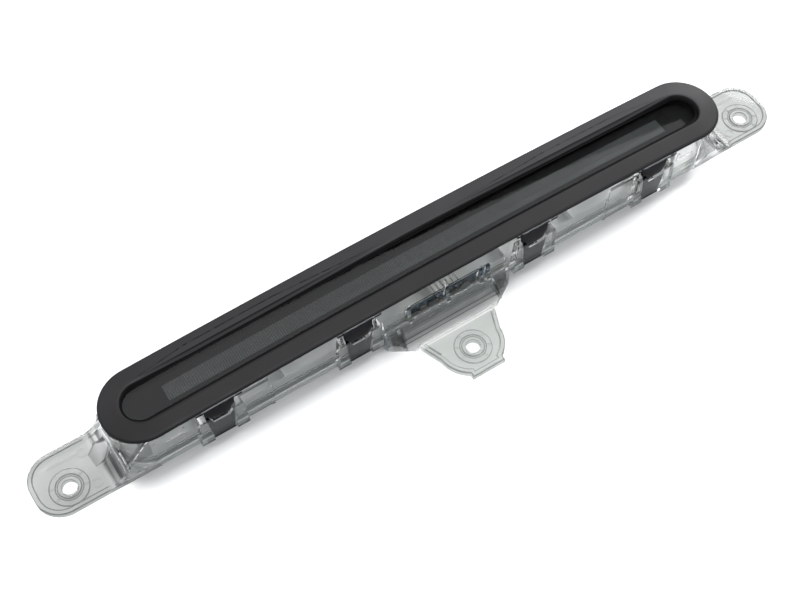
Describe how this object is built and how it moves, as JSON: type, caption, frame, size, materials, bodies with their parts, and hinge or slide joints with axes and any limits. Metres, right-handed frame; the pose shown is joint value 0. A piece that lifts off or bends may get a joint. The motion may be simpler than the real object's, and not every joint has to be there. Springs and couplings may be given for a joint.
{
  "type": "third brake light",
  "caption": "Long arched high-mounted brake light with a smoked lens, ribbed LED strip, dark bezel, clear plastic housing, snap clips and screw tabs.",
  "frame": {"origin": "midway between the two end screws, on the seating faces of their tabs", "axes": "+X along the lamp, +Y towards the electrical connector, +Z out of the lens"},
  "size_m": [0.401, 0.0775, 0.0405],
  "materials": {
    "bezel_plastic": "fine satin grain, charcoal",
    "seal_rubber": "matt black",
    "cover_seal": "matt light grey silicone",
    "smoked_lens": "polished, dark smoke tint",
    "sealant": "matt black",
    "clear_housing": "polished clear plastic with a light grey-green tint",
    "frosted_optic": "clear plastic with fine cross ribs",
    "frame_plastic": "matt black",
    "reflector_plastic": "white, glossy",
    "led_board_resin": "white solder mask",
    "led_package": "pale moulded package",
    "resistor_body": "glazed black",
    "screw_steel": "zinc plated",
    "driver_board_resin": "dark blue solder mask",
    "chip_resin": "moulded black resin",
    "ferrite": "sintered dark grey",
    "capacitor_body": "grey-brown ceramic",
    "tinned_pins": "bright tin plate",
    "connector_plastic": "black moulded",
    "connector_silicone": "matt grey",
    "cover_plastic": "light grey moulded",
    "vent_plastic": "black moulded",
    "membrane": "fine porous sheet"
  },
  "bodies": {
    "root": {"bezel": "bezel_plastic", "bezel_seal": "seal_rubber", "outer_lens": "smoked_lens", "lens_bead": "sealant", "housing": "clear_housing", "inner_optic": "frosted_optic", "optic_frame": "frame_plastic", "reflector": "reflector_plastic", "led_board": "led_board_resin", "leds": "led_package", "led_resistors": "resistor_body", "led_board_screws": "screw_steel", "driver_board": "driver_board_resin", "driver_chip": "chip_resin", "driver_inductor": "ferrite", "driver_capacitors": "capacitor_body", "driver_diodes": "chip_resin", "driver_resistors": "resistor_body", "board_link_pins": "tinned_pins", "connector_shell": "connector_plastic", "connector_pins": "tinned_pins", "connector_seal": "connector_silicone", "rear_cover": "cover_plastic", "rear_seal": "cover_seal", "rear_cover_screws": "screw_steel", "vent_cap": "vent_plastic", "vent_membrane": "membrane"}
  },
  "joints": []
}
